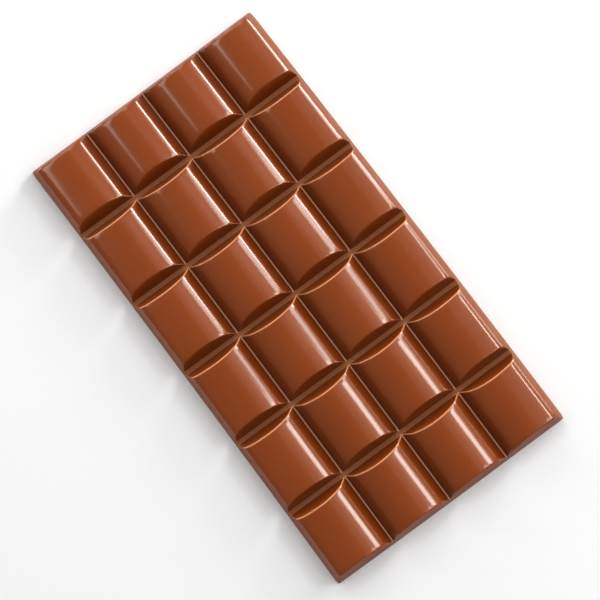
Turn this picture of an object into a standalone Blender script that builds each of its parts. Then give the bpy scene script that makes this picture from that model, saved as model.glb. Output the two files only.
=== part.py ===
"""Milk chocolate tablet: four columns by six rows of arched pieces, moulded in one solid.

Metres, +Z up. The origin is the centre of the flat back, the tablet's width runs along X
and its length along Y.
"""

import math

import bmesh
import bpy
from mathutils import Vector

# Overall size
WIDTH = 0.081
LENGTH = 0.151
THICKNESS = 0.0084
COLUMNS = 4
ROWS = 6

# Side of an arch along a valley, seen along Y
COLUMN_PITCH = WIDTH / COLUMNS
VALLEY_HEIGHT = 0.0031
VALLEY_FLOOR_WIDTH = 0.0004
FLANK_ANGLE = math.radians(53.0)
SHOULDER_RADIUS = 0.0050
CROWN_RADIUS = 0.0139

# Fuller side of an arch along the tablet's own long side
OUTER_FLANK_INSET = -0.0008
OUTER_FLANK_ANGLE = math.radians(50.0)
OUTER_SHOULDER_RADIUS = 0.0040
OUTER_CROWN_RADIUS = 0.0255

SHOULDER_STEPS = 8
CROWN_STEPS = 8

# Cross grooves between the rows
ROW_PITCH = 0.02525
GROOVE_HEIGHT = 0.0030
GROOVE_FLOOR_WIDTH = 0.0012
GROOVE_WALL_ANGLE = math.radians(66.0)

# Mould draft and corners
DRAFT = math.radians(16.6)
CORNER_RADIUS = 0.0008
CORNER_STEPS = 5

# How far the cutting shapes run past the tablet
CUT_MARGIN = 0.004

MILK_CHOCOLATE = (0.266, 0.063, 0.015, 1.0)
CHOCOLATE_ROUGHNESS = 0.35


def clear_scene():
    """Remove every object that the scene starts with."""
    for item in list(bpy.data.objects):
        bpy.data.objects.remove(item, do_unlink=True)


def chocolate_material():
    """Satin milk chocolate."""
    material = bpy.data.materials.new("milk_chocolate")
    material.use_nodes = True
    shader = material.node_tree.nodes["Principled BSDF"]
    shader.inputs["Base Color"].default_value = MILK_CHOCOLATE
    shader.inputs["Roughness"].default_value = CHOCOLATE_ROUGHNESS
    shader.inputs["Metallic"].default_value = 0.0
    return material


def arc_points(centre, radius, start, end, steps):
    """Points (x, z) on an arc from angle start to angle end, both ends included."""
    points = []
    for step in range(steps + 1):
        angle = start + (end - start) * step / steps
        points.append(centre + radius * Vector((math.cos(angle), math.sin(angle))))
    return points


def half_arch(inset, flank_angle, shoulder_radius, crown_radius):
    """Left half of one column's arch, from the height of the valleys to its crown.

    A straight flank rises from a point inset from the column's edge, a shoulder arc touches the
    flank, and the flatter crown arc touches the shoulder. X is measured from the column's middle.
    """
    foot = Vector((inset - COLUMN_PITCH / 2, VALLEY_HEIGHT))
    flank = Vector((math.cos(flank_angle), math.sin(flank_angle)))
    inward = Vector((math.sin(flank_angle), -math.cos(flank_angle)))
    crown_centre = Vector((0.0, THICKNESS - crown_radius))

    # The shoulder's centre lies beside the flank and on a circle about the crown's centre.
    beside_foot = foot + shoulder_radius * inward
    offset = beside_foot - crown_centre
    reach = crown_radius - shoulder_radius
    along = -offset.dot(flank) + math.sqrt(offset.dot(flank) ** 2 - offset.dot(offset) + reach**2)
    shoulder_centre = beside_foot + along * flank

    toward_crown = shoulder_centre - crown_centre
    meeting_angle = math.atan2(toward_crown.y, toward_crown.x)
    flank_end_angle = math.pi / 2 + flank_angle
    shoulder = arc_points(
        shoulder_centre, shoulder_radius, flank_end_angle, meeting_angle, SHOULDER_STEPS
    )
    crown = arc_points(crown_centre, crown_radius, meeting_angle, math.pi / 2, CROWN_STEPS)
    return [foot] + shoulder + crown[1:]


def half_column(outer):
    """Left half of a column beside a valley or, if outer, beside the tablet's long side."""
    if outer:
        return half_arch(
            OUTER_FLANK_INSET, OUTER_FLANK_ANGLE, OUTER_SHOULDER_RADIUS, OUTER_CROWN_RADIUS
        )
    return half_arch(VALLEY_FLOOR_WIDTH / 2, FLANK_ANGLE, SHOULDER_RADIUS, CROWN_RADIUS)


def column_outline(column):
    """Whole arch of one column, from left to right."""
    middle = (column - (COLUMNS - 1) / 2) * COLUMN_PITCH
    left = half_column(outer=column == 0)
    right = [Vector((-point.x, point.y)) for point in half_column(outer=column == COLUMNS - 1)]
    return [Vector((point.x + middle, point.y)) for point in left + right[-2::-1]]


def blank_outline():
    """Cross-section of the four arched columns on their flat back, wider than the tablet."""
    outline = []
    for column in range(COLUMNS):
        outline += column_outline(column)
    side = WIDTH / 2 + CUT_MARGIN
    outline.insert(0, Vector((-side, VALLEY_HEIGHT)))
    outline.append(Vector((side, VALLEY_HEIGHT)))
    outline.append(Vector((side, 0.0)))
    outline.append(Vector((-side, 0.0)))
    return outline


def mesh_from(name, shape):
    """Mesh object from a bmesh whose faces are turned to point out."""
    bmesh.ops.recalc_face_normals(shape, faces=shape.faces)
    mesh = bpy.data.meshes.new(name)
    shape.to_mesh(mesh)
    shape.free()
    item = bpy.data.objects.new(name, mesh)
    bpy.context.scene.collection.objects.link(item)
    return item


def extruded(name, start_points, sweep):
    """Prism swept from one flat outline of 3-D points along the vector sweep."""
    shape = bmesh.new()
    face = shape.faces.new([shape.verts.new(point) for point in start_points])
    swept = bmesh.ops.extrude_face_region(shape, geom=[face])
    moved = [item for item in swept["geom"] if isinstance(item, bmesh.types.BMVert)]
    bmesh.ops.translate(shape, verts=moved, vec=sweep)
    return mesh_from(name, shape)


def rounded_rectangle(half_x, half_y, height):
    """Loop of points round a rectangle with rounded corners at Z = height."""
    points = []
    for quarter in range(4):
        start = quarter * math.pi / 2
        sign_x = 1 if quarter in (0, 3) else -1
        sign_y = 1 if quarter in (0, 1) else -1
        centre = Vector((sign_x * (half_x - CORNER_RADIUS), sign_y * (half_y - CORNER_RADIUS)))
        corner = arc_points(centre, CORNER_RADIUS, start, start + math.pi / 2, CORNER_STEPS)
        points += [Vector((point.x, point.y, height)) for point in corner]
    return points


def make_envelope():
    """Drafted outer shape of the mould: its sides and ends lean in as they rise."""
    top = THICKNESS + CUT_MARGIN
    shape = bmesh.new()
    loops = []
    for height in (0.0, top):
        lean = height * math.tan(DRAFT)
        half_x = WIDTH / 2 - lean
        half_y = LENGTH / 2 - lean
        ring = [shape.verts.new(point) for point in rounded_rectangle(half_x, half_y, height)]
        loops.append(shape.faces.new(ring))
    edges = [edge for face in loops for edge in face.edges]
    bmesh.ops.bridge_loops(shape, edges=edges)
    return mesh_from("mould_envelope", shape)


def make_groove_cutters():
    """One object with a flat-bottomed V prism across the tablet between each two rows."""
    rise = THICKNESS + CUT_MARGIN - GROOVE_HEIGHT
    half_floor = GROOVE_FLOOR_WIDTH / 2
    half_top = half_floor + rise / math.tan(GROOVE_WALL_ANGLE)
    side = WIDTH / 2 + CUT_MARGIN
    cutters = []
    for groove in range(ROWS - 1):
        middle = (groove - (ROWS - 2) / 2) * ROW_PITCH
        section = [
            Vector((-side, middle - half_floor, GROOVE_HEIGHT)),
            Vector((-side, middle + half_floor, GROOVE_HEIGHT)),
            Vector((-side, middle + half_top, GROOVE_HEIGHT + rise)),
            Vector((-side, middle - half_top, GROOVE_HEIGHT + rise)),
        ]
        cutters.append(extruded(f"groove_cutter_{groove + 1}", section, Vector((2 * side, 0, 0))))
    return cutters


def hide_guide(item):
    """Show a cutting shape as wire only, and leave it out of renders."""
    item.hide_render = True
    item.display_type = "WIRE"


def boolean(item, other, operation):
    """Exact Boolean between a solid and a cutting shape."""
    modifier = item.modifiers.new(f"{operation.lower()}_{other.name}", "BOOLEAN")
    modifier.operation = operation
    modifier.solver = "EXACT"
    modifier.object = other
    hide_guide(other)


def make_bar():
    """The tablet: the arched blank, kept inside the mould's draft and cut by the grooves."""
    back = -LENGTH / 2 - CUT_MARGIN
    section = [Vector((point.x, back, point.y)) for point in blank_outline()]
    sweep = Vector((0.0, LENGTH + 2 * CUT_MARGIN, 0.0))
    bar = extruded("chocolate_bar", section, sweep)
    bar.data.materials.append(chocolate_material())
    boolean(bar, make_envelope(), "INTERSECT")
    for cutter in make_groove_cutters():
        boolean(bar, cutter, "DIFFERENCE")
    return bar


def main():
    """Build the tablet."""
    clear_scene()
    make_bar()


main()
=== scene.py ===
"""Looks of a milk chocolate tablet: the fine moulded surface, its satin finish, and a plain studio.

Metres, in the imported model's frame: the tablet lies flat on Z = 0, X across it, Y along it.
"""

import math

import bpy
from mathutils import Matrix, Vector


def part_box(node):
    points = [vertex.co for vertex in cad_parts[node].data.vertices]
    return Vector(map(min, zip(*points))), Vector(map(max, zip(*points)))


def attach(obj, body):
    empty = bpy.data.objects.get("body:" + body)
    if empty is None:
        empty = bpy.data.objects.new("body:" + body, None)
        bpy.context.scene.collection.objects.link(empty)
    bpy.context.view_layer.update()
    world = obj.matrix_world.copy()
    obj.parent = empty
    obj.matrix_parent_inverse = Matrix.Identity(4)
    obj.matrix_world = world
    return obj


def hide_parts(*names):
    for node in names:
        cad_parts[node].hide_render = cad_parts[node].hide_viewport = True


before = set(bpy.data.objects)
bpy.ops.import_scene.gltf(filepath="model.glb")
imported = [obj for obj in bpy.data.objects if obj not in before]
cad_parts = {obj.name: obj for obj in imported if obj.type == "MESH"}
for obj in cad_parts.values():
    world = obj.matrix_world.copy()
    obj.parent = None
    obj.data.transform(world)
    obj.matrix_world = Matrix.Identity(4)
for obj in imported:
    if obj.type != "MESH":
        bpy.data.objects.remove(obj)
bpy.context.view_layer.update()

NODE = "chocolate_bar"
LOW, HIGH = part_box(NODE)
WIDTH = HIGH.x - LOW.x
LENGTH = HIGH.y - LOW.y
THICKNESS = HIGH.z - LOW.z

# Layout of the pieces
COLUMNS = 4
ROWS = 6
COLUMN_PITCH = WIDTH / COLUMNS
ROW_PITCH = 0.02525

# Arch of one column, seen along Y
VALLEY_HEIGHT = 0.0031
VALLEY_FLOOR_WIDTH = 0.0004
VALLEY_FILLET = 0.0004
FLANK_ANGLE = math.radians(53.0)
SHOULDER_RADIUS = 0.0050
CROWN_RADIUS = 0.0139

# Arch beside the tablet's own long sides
OUTER_RIM_HEIGHT = 0.00629
OUTER_FLANK_ANGLE = math.radians(50.0)
OUTER_SHOULDER_RADIUS = 0.0040
OUTER_CROWN_RADIUS = 0.0255

# Cross grooves between the rows
GROOVE_HEIGHT = 0.0030
GROOVE_FLOOR_WIDTH = 0.0012
GROOVE_WALL_ANGLE = math.radians(66.0)
GROOVE_FILLET = 0.0002
LEAST_GROOVE_DEPTH = 0.00002
RIDGE_FILLET = 0.0005

# Outer walls
DRAFT = math.radians(16.6)
END_RIM_HEIGHT = 0.0022
SIDE_RIM_HEIGHT = 0.0024
RIM_FILLET = 0.0009
SIDE_FILLET = 0.0008
CORNER_RADIUS = 0.0008
BACK_EDGE_RADIUS = 0.0003

# Unevenness of the cooled tablet: it is a little smaller than the mould, bowed sideways, narrower
# towards its far end, out of square, and its ends are bowed
SHRINKAGE = 0.0076
SIDE_BOW = 0.00035
TAPER = 0.00023
SKEW = 0.00054
END_BOW = 0.00016

# Faces near the outline that are steeper than this (Z of the normal) are walls and rims, duller
# than the moulded front
SIDE_SLOPE = 0.55
SIDE_BAND = 0.0045

# Colours of the chocolate, linear
MILK_DARK = (0.222, 0.0405, 0.0028)
MILK_LIGHT = (0.238, 0.0445, 0.0042)
MILK_SPECKLE = (0.265, 0.055, 0.0090)
# Painted shade: the darker tone low in the valleys and on the groove walls
MILK_PAINTED_SHADE = (0.115, 0.0175, 0.0010)
RECESS_COLOUR = (0.245, 0.074, 0.0230)
# Painted highlight along the bottom of each valley
VALLEY_HIGHLIGHT_COLOUR = (0.46, 0.21, 0.115)
# Painted highlight along the near edge of each groove
EDGE_HIGHLIGHT_COLOUR = (0.56, 0.22, 0.095)
SHEEN_TINT = (1.0, 0.68, 0.45, 1.0)
SIDE_TINT = (1.0, 0.5, 0.25, 1.0)

# Groove bottoms and valleys: all below RECESS_LOW, fading out at RECESS_HIGH
RECESS_LOW = 0.00302
RECESS_HIGH = 0.00314
RECESS_ROUGHNESS = 0.5

# Heights between which the painted shade of the hollows fades into the crowns' own tone
PAINTED_SHADE_HEIGHTS = (0.0032, 0.0072)

# Painted highlight: the pale line that runs along the bottom of each valley, as heights
VALLEY_HIGHLIGHT_LOW = (0.00304, 0.00309)
VALLEY_HIGHLIGHT_HIGH = (0.00311, 0.00317)

SKIN_ROUGHNESS = 0.13

# Sizes of the surface's patterns, and how deep its bumps are
CLOUD_SIZE = 0.022
SPECKLE_SIZE = 0.0011
SPECKLE_SHARE = 0.25
POLISH_SIZE = 0.008
WAVE_SIZE = 0.011
WAVE_DEPTH = 0.00002
GRAIN_SIZE = 0.0005
GRAIN_DEPTH = 0.0000012
NOISE_SPREAD = (0.3, 0.7)

# Mesh fineness, in segments
FLOOR_STEPS = 2
FILLET_STEPS = 4
FLANK_STEPS = 4
SHOULDER_STEPS = 9
CROWN_STEPS = 9
WALL_STEPS = 4
SIDE_STEPS = 8
TOP_STEPS = 16
SKIRT_STEPS = 4


def arc(centre, radius, start, end, steps):
    """Points on an arc from angle start to angle end, both ends included."""
    points = []
    for step in range(steps + 1):
        angle = start + (end - start) * step / steps
        points.append(centre + radius * Vector((math.cos(angle), math.sin(angle))))
    return points


def straight(start, end, steps):
    """Points from start to end, without start itself."""
    return [start.lerp(end, step / steps) for step in range(1, steps + 1)]


def rounded_corner(before, corner, after, radius, steps):
    """Points of a fillet at a corner of a path, kept shorter than the straights beside it."""
    to_before = before - corner
    to_after = after - corner
    opening = to_before.angle(to_after)
    limit = 0.45 * min(to_before.length, to_after.length)
    reach = min(radius / math.tan(opening / 2), limit)
    radius = reach * math.tan(opening / 2)
    first = corner + reach * to_before.normalized()
    last = corner + reach * to_after.normalized()
    bisector = (to_before.normalized() + to_after.normalized()).normalized()
    centre = corner + bisector * radius / math.sin(opening / 2)
    start = (first - centre)
    turn = start.angle_signed(last - centre)
    points = []
    for step in range(steps + 1):
        points.append(centre + Matrix.Rotation(-turn * step / steps, 2) @ start)
    return points


def filleted_path(corners, fillets, spans):
    """Path through corners, with a fillet radius at each inner corner and steps for each span."""
    points = [corners[0]]
    for index in range(1, len(corners) - 1):
        fillet = rounded_corner(
            corners[index - 1], corners[index], corners[index + 1], fillets[index - 1], FILLET_STEPS
        )
        points += straight(points[-1], fillet[0], spans[index - 1])
        points += fillet[1:]
    points += straight(points[-1], corners[-1], spans[-1])
    return points


def draft_inset(height):
    """How far the drafted walls lean in at a height."""
    return height * math.tan(DRAFT)


def arch_curve(foot, flank_angle, shoulder_radius, crown_radius):
    """Shoulder and crown of an arch's left half, from the top of its straight flank to its middle.

    The flank rises from foot. X is measured from the column's middle.
    """
    flank = Vector((math.cos(flank_angle), math.sin(flank_angle)))
    inward = Vector((math.sin(flank_angle), -math.cos(flank_angle)))
    crown_centre = Vector((0.0, THICKNESS - crown_radius))
    beside_foot = foot + shoulder_radius * inward
    offset = beside_foot - crown_centre
    reach = crown_radius - shoulder_radius
    along = -offset.dot(flank) + math.sqrt(offset.dot(flank) ** 2 - offset.dot(offset) + reach**2)
    shoulder_centre = beside_foot + along * flank
    toward_crown = shoulder_centre - crown_centre
    meeting = math.atan2(toward_crown.y, toward_crown.x)
    flank_end = math.pi / 2 + flank_angle
    shoulder = arc(shoulder_centre, shoulder_radius, flank_end, meeting, SHOULDER_STEPS)
    crown = arc(crown_centre, crown_radius, meeting, math.pi / 2, CROWN_STEPS)
    return shoulder + crown[1:]


def half_column(outer):
    """Left half of a column from its valley, or from the tablet's side wall if outer."""
    edge = -COLUMN_PITCH / 2
    if outer:
        rim = Vector((edge + draft_inset(OUTER_RIM_HEIGHT), OUTER_RIM_HEIGHT))
        curve = arch_curve(rim, OUTER_FLANK_ANGLE, OUTER_SHOULDER_RADIUS, OUTER_CROWN_RADIUS)
        start = Vector((edge + draft_inset(SIDE_RIM_HEIGHT), SIDE_RIM_HEIGHT))
        return filleted_path([start, rim, curve[0]], [SIDE_FILLET], [SIDE_STEPS, 1]) + curve[1:]
    foot = Vector((edge + VALLEY_FLOOR_WIDTH / 2, VALLEY_HEIGHT))
    curve = arch_curve(foot, FLANK_ANGLE, SHOULDER_RADIUS, CROWN_RADIUS)
    middle = Vector((edge, VALLEY_HEIGHT))
    path = filleted_path([middle, foot, curve[0]], [VALLEY_FILLET], [FLOOR_STEPS, FLANK_STEPS])
    return path + curve[1:]


def stations():
    """(x, height) of every line of the surface that runs along the tablet, from left to right."""
    line = []
    for column in range(COLUMNS):
        middle = (column - (COLUMNS - 1) / 2) * COLUMN_PITCH
        left = half_column(outer=column == 0)
        right = [Vector((-p.x, p.y)) for p in reversed(half_column(outer=column == COLUMNS - 1))]
        both = left + right[1:]
        start = 0 if column == 0 else 1
        line += [Vector((p.x + middle, p.y)) for p in both[start:]]
    return line


def lengthwise_path(height):
    """(y, z) along the tablet for a line whose arch is this high: end walls, tops and grooves."""
    half = LENGTH / 2
    half_floor = GROOVE_FLOOR_WIDTH / 2
    depth = max(height - GROOVE_HEIGHT, LEAST_GROOVE_DEPTH)
    floor_height = height - depth
    half_top = half_floor + depth / math.tan(GROOVE_WALL_ANGLE)
    corners = [Vector((-half + draft_inset(END_RIM_HEIGHT), END_RIM_HEIGHT))]
    fillets = []
    spans = []
    corners.append(Vector((-half + draft_inset(height), height)))
    fillets.append(RIM_FILLET)
    spans.append(WALL_STEPS)
    for groove in range(ROWS - 1):
        middle = (groove - (ROWS - 2) / 2) * ROW_PITCH
        corners.append(Vector((middle - half_top, height)))
        corners.append(Vector((middle - half_floor, floor_height)))
        corners.append(Vector((middle + half_floor, floor_height)))
        corners.append(Vector((middle + half_top, height)))
        fillets += [RIDGE_FILLET, GROOVE_FILLET, GROOVE_FILLET, RIDGE_FILLET]
        spans += [TOP_STEPS, WALL_STEPS, FLOOR_STEPS, WALL_STEPS]
    corners.append(Vector((half - draft_inset(height), height)))
    fillets.append(RIM_FILLET)
    spans.append(TOP_STEPS)
    corners.append(Vector((half - draft_inset(END_RIM_HEIGHT), END_RIM_HEIGHT)))
    spans.append(WALL_STEPS)
    return filleted_path(corners, fillets, spans)


def round_plan(point, inset=0.0):
    """Move a point so that the drafted outline's four upright corners become round."""
    half_x = WIDTH / 2 - point.z * math.tan(DRAFT) - inset
    half_y = LENGTH / 2 - point.z * math.tan(DRAFT) - inset
    centre = Vector((half_x - CORNER_RADIUS, half_y - CORNER_RADIUS))
    past = Vector((abs(point.x) - centre.x, abs(point.y) - centre.y))
    if past.x <= 0 or past.y <= 0:
        return point
    past *= max(past) / past.length
    x = math.copysign(centre.x + past.x, point.x)
    y = math.copysign(centre.y + past.y, point.y)
    return Vector((x, y, point.z))


def front_grid():
    """Rows of points over the whole front, one row for each lengthwise line."""
    grid = []
    for station in stations():
        path = lengthwise_path(station.y)
        grid.append([Vector((station.x, p.x, p.y)) for p in path])
    return grid


def skirt_rings(rim):
    """Rings of points from the front's rim down the side walls and round under the back's edge."""
    rings = []
    for step in range(1, SKIRT_STEPS + 1):
        share = step / SKIRT_STEPS
        ring = []
        for point in rim:
            z = point.z + (BACK_EDGE_RADIUS - point.z) * share
            scale_x = (WIDTH / 2 - z * math.tan(DRAFT)) / (WIDTH / 2 - point.z * math.tan(DRAFT))
            scale_y = (LENGTH / 2 - z * math.tan(DRAFT)) / (LENGTH / 2 - point.z * math.tan(DRAFT))
            ring.append(round_plan(Vector((point.x * scale_x, point.y * scale_y, z))))
        rings.append(ring)
    lowest = rings[-1]
    for step in range(1, FILLET_STEPS + 1):
        angle = step / FILLET_STEPS * math.pi / 2
        inset = BACK_EDGE_RADIUS * (1 - math.cos(angle))
        z = BACK_EDGE_RADIUS * (1 - math.sin(angle))
        rings.append([shrunk(point, inset, z) for point in lowest])
    rings.append([shrunk(point, 5 * BACK_EDGE_RADIUS, 0.0) for point in lowest])
    return rings


def shrunk(point, inset, z):
    """A point of the outline moved in towards the middle by inset, at height z."""
    return Vector((point.x * (1 - 2 * inset / WIDTH), point.y * (1 - 2 * inset / LENGTH), z))


def uneven(point):
    """Where a point of the regular tablet lies on the slightly distorted one."""
    across = point.x / (WIDTH / 2)
    along = point.y / (LENGTH / 2)
    shift_x = SIDE_BOW * (0.5 - along**2) - TAPER * across * along
    shift_y = -SKEW * across - END_BOW * (1 - across**2)
    size = 1 - SHRINKAGE
    return Vector((point.x * size + shift_x, point.y * size + shift_y, point.z))


def tablet_mesh():
    """The closed fine surface of the tablet."""
    grid = front_grid()
    rows = len(grid)
    lines = len(grid[0])
    # Rim indices run once round the grid, anticlockwise seen from above.
    rim_cells = [(i, 0) for i in range(rows)]
    rim_cells += [(rows - 1, j) for j in range(1, lines)]
    rim_cells += [(i, lines - 1) for i in range(rows - 2, -1, -1)]
    rim_cells += [(0, j) for j in range(lines - 2, 0, -1)]
    rim = [grid[i][j] for i, j in rim_cells]
    rings = skirt_rings(rim)

    points = [round_plan(point) for row in grid for point in row]
    faces = []
    for i in range(rows - 1):
        for j in range(lines - 1):
            a = i * lines + j
            faces.append((a, a + lines, a + lines + 1, a + 1))
    above = [i * lines + j for i, j in rim_cells]
    for ring in rings:
        below = list(range(len(points), len(points) + len(ring)))
        points += ring
        for k in range(len(ring)):
            nxt = (k + 1) % len(ring)
            faces.append((above[k], below[k], below[nxt], above[nxt]))
        above = below
    faces.append(tuple(reversed(above)))
    mesh = bpy.data.meshes.new("tablet")
    mesh.from_pydata([tuple(uneven(point)) for point in points], [], faces)
    mesh.validate()
    mesh.shade_smooth()
    return mesh


def add_node(tree, kind, **settings):
    """New node with its settings."""
    node = tree.nodes.new(kind)
    for name, value in settings.items():
        setattr(node, name, value)
    return node


def noise_value(tree, place, size, detail):
    """Noise from 0 to 1 whose blotches are about size metres wide."""
    node = add_node(tree, "ShaderNodeTexNoise")
    node.inputs["Scale"].default_value = 1.0 / size
    node.inputs["Detail"].default_value = detail
    tree.links.new(place, node.inputs["Vector"])
    return node.outputs["Fac"]


def ranged(tree, value, source, target, smooth=False):
    """Value mapped from one (low, high) range to another, and kept inside it."""
    node = add_node(tree, "ShaderNodeMapRange")
    node.interpolation_type = "SMOOTHSTEP" if smooth else "LINEAR"
    node.inputs["From Min"].default_value = source[0]
    node.inputs["From Max"].default_value = source[1]
    node.inputs["To Min"].default_value = target[0]
    node.inputs["To Max"].default_value = target[1]
    tree.links.new(value, node.inputs["Value"])
    return node.outputs["Result"]


def mixed_colour(tree, share, first, second):
    """Colour between first and second, each a colour or another node's output."""
    node = add_node(tree, "ShaderNodeMix", data_type="RGBA")
    tree.links.new(share, node.inputs["Factor"])
    for socket, colour in ((node.inputs[6], first), (node.inputs[7], second)):
        if isinstance(colour, bpy.types.NodeSocket):
            tree.links.new(colour, socket)
        else:
            socket.default_value = (*colour, 1.0)
    return node.outputs[2]


def mixed_value(tree, share, first, second):
    """Number between two node outputs."""
    node = add_node(tree, "ShaderNodeMix", data_type="FLOAT")
    tree.links.new(share, node.inputs["Factor"])
    tree.links.new(first, node.inputs[2])
    tree.links.new(second, node.inputs[3])
    return node.outputs[0]


def bumped(tree, height, depth, before=None):
    """Normal of a surface whose height runs over depth metres, added to another bump if given."""
    node = add_node(tree, "ShaderNodeBump")
    node.inputs["Strength"].default_value = 1.0
    node.inputs["Distance"].default_value = depth
    tree.links.new(height, node.inputs["Height"])
    if before is not None:
        tree.links.new(before, node.inputs["Normal"])
    return node.outputs["Normal"]


def highlight_edge_ranges():
    """(first, last) face along the tablet of the near edge of each groove, which carries a painted
    highlight.
    """
    ranges = []
    before = WALL_STEPS + FILLET_STEPS + TOP_STEPS
    groove_length = 4 * FILLET_STEPS + 2 * WALL_STEPS + FLOOR_STEPS + TOP_STEPS
    for groove in range(ROWS - 1):
        first = before + groove * groove_length
        ranges.append((first, first + FILLET_STEPS))
    return ranges


def is_highlight_edge(index, lines):
    """Whether a face of the front, counted through the grid, lies on a groove's near edge with a
    painted highlight.
    """
    along = index % (lines - 1)
    return any(first <= along < last for first, last in highlight_edge_ranges())


def chocolate_material(name, roughness, specular, tint, skin, highlight_colour=None):
    """Satin milk chocolate: faintly mottled, greyer at the bottom of the grooves, with painted shade
    low in the hollows.

    Skin is the share of the surface that carries the smooth, glossy skin left by the mould, and also
    how strong the painted shade of the hollows is.
    """
    material = bpy.data.materials.new(name)
    material.use_nodes = True
    tree = material.node_tree
    shader = tree.nodes["Principled BSDF"]
    place = add_node(tree, "ShaderNodeTexCoord").outputs["Object"]
    split = add_node(tree, "ShaderNodeSeparateXYZ")
    tree.links.new(place, split.inputs["Vector"])
    recess = ranged(tree, split.outputs["Z"], (RECESS_LOW, RECESS_HIGH), (1.0, 0.0), smooth=True)

    cloud = ranged(tree, noise_value(tree, place, CLOUD_SIZE, 3.0), NOISE_SPREAD, (0.0, 1.0))
    speckle = ranged(tree, noise_value(tree, place, SPECKLE_SIZE, 2.0), NOISE_SPREAD, (0.0, 1.0))
    clouded = mixed_colour(tree, cloud, MILK_DARK, MILK_LIGHT)
    share = ranged(tree, speckle, (0.0, 1.0), (0.0, SPECKLE_SHARE))
    speckled = mixed_colour(tree, share, clouded, MILK_SPECKLE)
    # Painted shade, darkest at the valley bottoms and gone by the crowns' height
    painted_shade = ranged(tree, split.outputs["Z"], PAINTED_SHADE_HEIGHTS, (skin, 0.0))
    shaded = mixed_colour(tree, painted_shade, speckled, MILK_PAINTED_SHADE)
    grooved = mixed_colour(tree, recess, shaded, RECESS_COLOUR)
    # Painted highlight: a pale line along the bottom of each valley
    above = ranged(tree, split.outputs["Z"], VALLEY_HIGHLIGHT_LOW, (0.0, 1.0))
    below = ranged(tree, split.outputs["Z"], VALLEY_HIGHLIGHT_HIGH, (1.0, 0.0))
    valley_highlighted = mixed_colour(tree, below, grooved, VALLEY_HIGHLIGHT_COLOUR)
    colour = mixed_colour(tree, above, grooved, valley_highlighted)
    # Painted highlight: where given, this colour replaces the whole colour
    if highlight_colour is not None:
        colour = mixed_colour(tree, cloud, highlight_colour, highlight_colour)
    tree.links.new(colour, shader.inputs["Base Color"])

    worn = noise_value(tree, place, POLISH_SIZE, 3.0)
    polished = ranged(tree, worn, NOISE_SPREAD, (roughness * 0.85, roughness * 1.15))
    dull = ranged(tree, worn, NOISE_SPREAD, (RECESS_ROUGHNESS * 0.9, RECESS_ROUGHNESS * 1.1))
    tree.links.new(mixed_value(tree, recess, polished, dull), shader.inputs["Roughness"])

    waves = bumped(tree, noise_value(tree, place, WAVE_SIZE, 1.0), WAVE_DEPTH)
    grain = bumped(tree, noise_value(tree, place, GRAIN_SIZE, 2.0), GRAIN_DEPTH, waves)
    tree.links.new(grain, shader.inputs["Normal"])
    shader.inputs["Specular IOR Level"].default_value = specular
    shader.inputs["Specular Tint"].default_value = tint
    shader.inputs["Coat Weight"].default_value = skin
    shader.inputs["Coat Roughness"].default_value = SKIN_ROUGHNESS
    shader.inputs["Coat IOR"].default_value = 1.5
    tree.links.new(waves, shader.inputs["Coat Normal"])
    return material


def is_side(face):
    """Whether a face belongs to the tablet's outer walls or their rounded rims."""
    if abs(face.normal.z) > SIDE_SLOPE:
        return False
    if abs(face.normal.x) > abs(face.normal.y):
        return abs(face.center.x) > WIDTH / 2 - SIDE_BAND
    return abs(face.center.y) > LENGTH / 2 - SIDE_BAND


def make_tablet():
    """The visible tablet, which stands for the CAD node."""
    mesh = tablet_mesh()
    mesh.materials.append(chocolate_material("milk_chocolate", 0.38, 0.25, SHEEN_TINT, 1.0))
    mesh.materials.append(chocolate_material("milk_chocolate_side", 0.45, 0.15, SIDE_TINT, 0.0))
    # Faces on the near edge of each groove get a painted highlight colour
    mesh.materials.append(
        chocolate_material("milk_chocolate_edge_highlight", 0.4, 0.25, SHEEN_TINT, 1.0, EDGE_HIGHLIGHT_COLOUR)
    )
    lines = len(lengthwise_path(THICKNESS))
    front_faces = (len(stations()) - 1) * (lines - 1)
    for face in mesh.polygons:
        if is_side(face):
            face.material_index = 1
        elif face.index < front_faces and is_highlight_edge(face.index, lines):
            face.material_index = 2
    tablet = bpy.data.objects.new("tablet", mesh)
    bpy.context.scene.collection.objects.link(tablet)
    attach(tablet, "root")
    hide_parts(NODE)
    return tablet


CAMERA_PLACE = Vector((-0.0008, -0.02824, 0.42101))
CAMERA_AIM = Vector((0.00015, -0.00229, 0.0))
CAMERA_UP_TURN = math.radians(52.857)
CAMERA_LENS = 87.0


def make_camera():
    """Camera almost straight above the tablet, turned so that the tablet lies across the picture."""
    data = bpy.data.cameras.new("camera")
    data.lens = CAMERA_LENS
    data.sensor_width = 36.0
    camera = bpy.data.objects.new("camera", data)
    bpy.context.scene.collection.objects.link(camera)
    back = (CAMERA_PLACE - CAMERA_AIM).normalized()
    up_hint = Vector((math.cos(CAMERA_UP_TURN), math.sin(CAMERA_UP_TURN), 0.0))
    right = up_hint.cross(back).normalized()
    up = back.cross(right)
    turned = Matrix((right, up, back)).transposed().to_4x4()
    camera.matrix_world = Matrix.Translation(CAMERA_PLACE) @ turned
    bpy.context.scene.camera = camera


FLOOR_REACH = 1.5
BOARD_DARK = (0.896, 0.933, 0.992)
BOARD_LIGHT = (0.904, 0.941, 1.0)
BOARD_GRAIN = 0.002
BOARD_DEPTH = 0.00001


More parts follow.
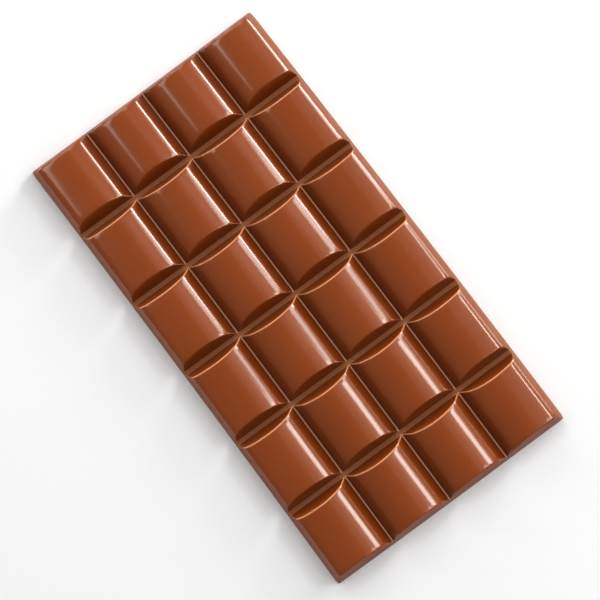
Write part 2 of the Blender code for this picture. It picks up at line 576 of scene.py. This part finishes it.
def floor_material():
    """Matt white board with a faint grain."""
    material = bpy.data.materials.new("white_board")
    material.use_nodes = True
    tree = material.node_tree
    shader = tree.nodes["Principled BSDF"]
    place = add_node(tree, "ShaderNodeTexCoord").outputs["Object"]
    noise = noise_value(tree, place, BOARD_GRAIN, 3.0)
    grain = ranged(tree, noise, NOISE_SPREAD, (0.0, 1.0))
    tree.links.new(mixed_colour(tree, grain, BOARD_DARK, BOARD_LIGHT), shader.inputs["Base Color"])
    tree.links.new(ranged(tree, noise, NOISE_SPREAD, (0.86, 0.94)), shader.inputs["Roughness"])
    tree.links.new(bumped(tree, noise, BOARD_DEPTH), shader.inputs["Normal"])
    shader.inputs["Specular IOR Level"].default_value = 0.2
    return material


def make_floor():
    """Plain pale floor."""
    mesh = bpy.data.meshes.new("floor")
    s = FLOOR_REACH
    mesh.from_pydata([(-s, -s, 0), (s, -s, 0), (s, s, 0), (-s, s, 0)], [], [(0, 1, 2, 3)])
    mesh.materials.append(floor_material())
    floor = bpy.data.objects.new("floor", mesh)
    bpy.context.scene.collection.objects.link(floor)


LIGHT_DISTANCE = 1.2
WARM_LIGHT = (1.0, 0.96, 0.905)


def soft_light(name, azimuth, elevation, width, height, radiance):
    """Rectangular soft box aimed at the tablet: its direction and its angular size in degrees."""
    turn = math.radians(azimuth)
    rise = math.radians(elevation)
    level = math.cos(rise)
    direction = Vector((level * math.cos(turn), level * math.sin(turn), math.sin(rise)))
    data = bpy.data.lights.new(name, "AREA")
    data.shape = "RECTANGLE"
    data.size = 2 * LIGHT_DISTANCE * math.tan(math.radians(width / 2))
    data.size_y = 2 * LIGHT_DISTANCE * math.tan(math.radians(height / 2))
    data.energy = radiance * math.pi * data.size * data.size_y
    data.color = WARM_LIGHT
    light = bpy.data.objects.new(name, data)
    bpy.context.scene.collection.objects.link(light)
    light.location = LIGHT_DISTANCE * direction
    light.rotation_mode = "QUATERNION"
    light.rotation_quaternion = (-direction).to_track_quat("-Z", "Y")
    return light


def make_lights():
    """Studio lights round the tablet; azimuth 0 is +X and 90 is +Y."""
    soft_light("low_side_strip", 14, 15.5, 16, 11, 24.0)
    soft_light("floor_side_strip", -1, 7, 18, 9, 8.0)
    soft_light("middle_side_strip", 9, 27, 14, 13, 8.0)
    soft_light("high_side_strip", -12, 42, 17, 10, 15.0)
    soft_light("high_side_panel", 5, 36, 14, 8, 8.0)
    soft_light("top_side_strip", -3, 53, 34, 14, 0.7)
    soft_light("side_end_panel", -36, 51, 14, 12, 6.0)
    soft_light("key", 66, 49, 32, 18, 2.2)
    soft_light("key_low", 70, 30, 30, 14, 3.6)
    soft_light("end_low", 92, 19, 22, 12, 4.0)
    soft_light("back_high", 120, 54, 40, 14, 3.5)
    soft_light("back_panel", 146, 38, 14, 16, 0.3)
    soft_light("low_back", 122, 7, 30, 12, 6.0)
    soft_light("front_fill", 298, 48, 20, 22, 0.8)
    soft_light("front_low", 228, 7, 34, 12, 0.5)
    soft_light("overhead", 345, 67, 50, 14, 0.4)


AMBIENT = 0.2


def make_ambient():
    """Faint even light from all round, of the same tint as the soft boxes."""
    world = bpy.data.worlds.new("studio")
    world.use_nodes = True
    background = world.node_tree.nodes["Background"]
    background.inputs["Color"].default_value = (*WARM_LIGHT, 1.0)
    background.inputs["Strength"].default_value = AMBIENT
    bpy.context.scene.world = world


make_tablet()
make_floor()
make_ambient()
make_camera()
make_lights()
bpy.context.scene.view_settings.view_transform = "Standard"
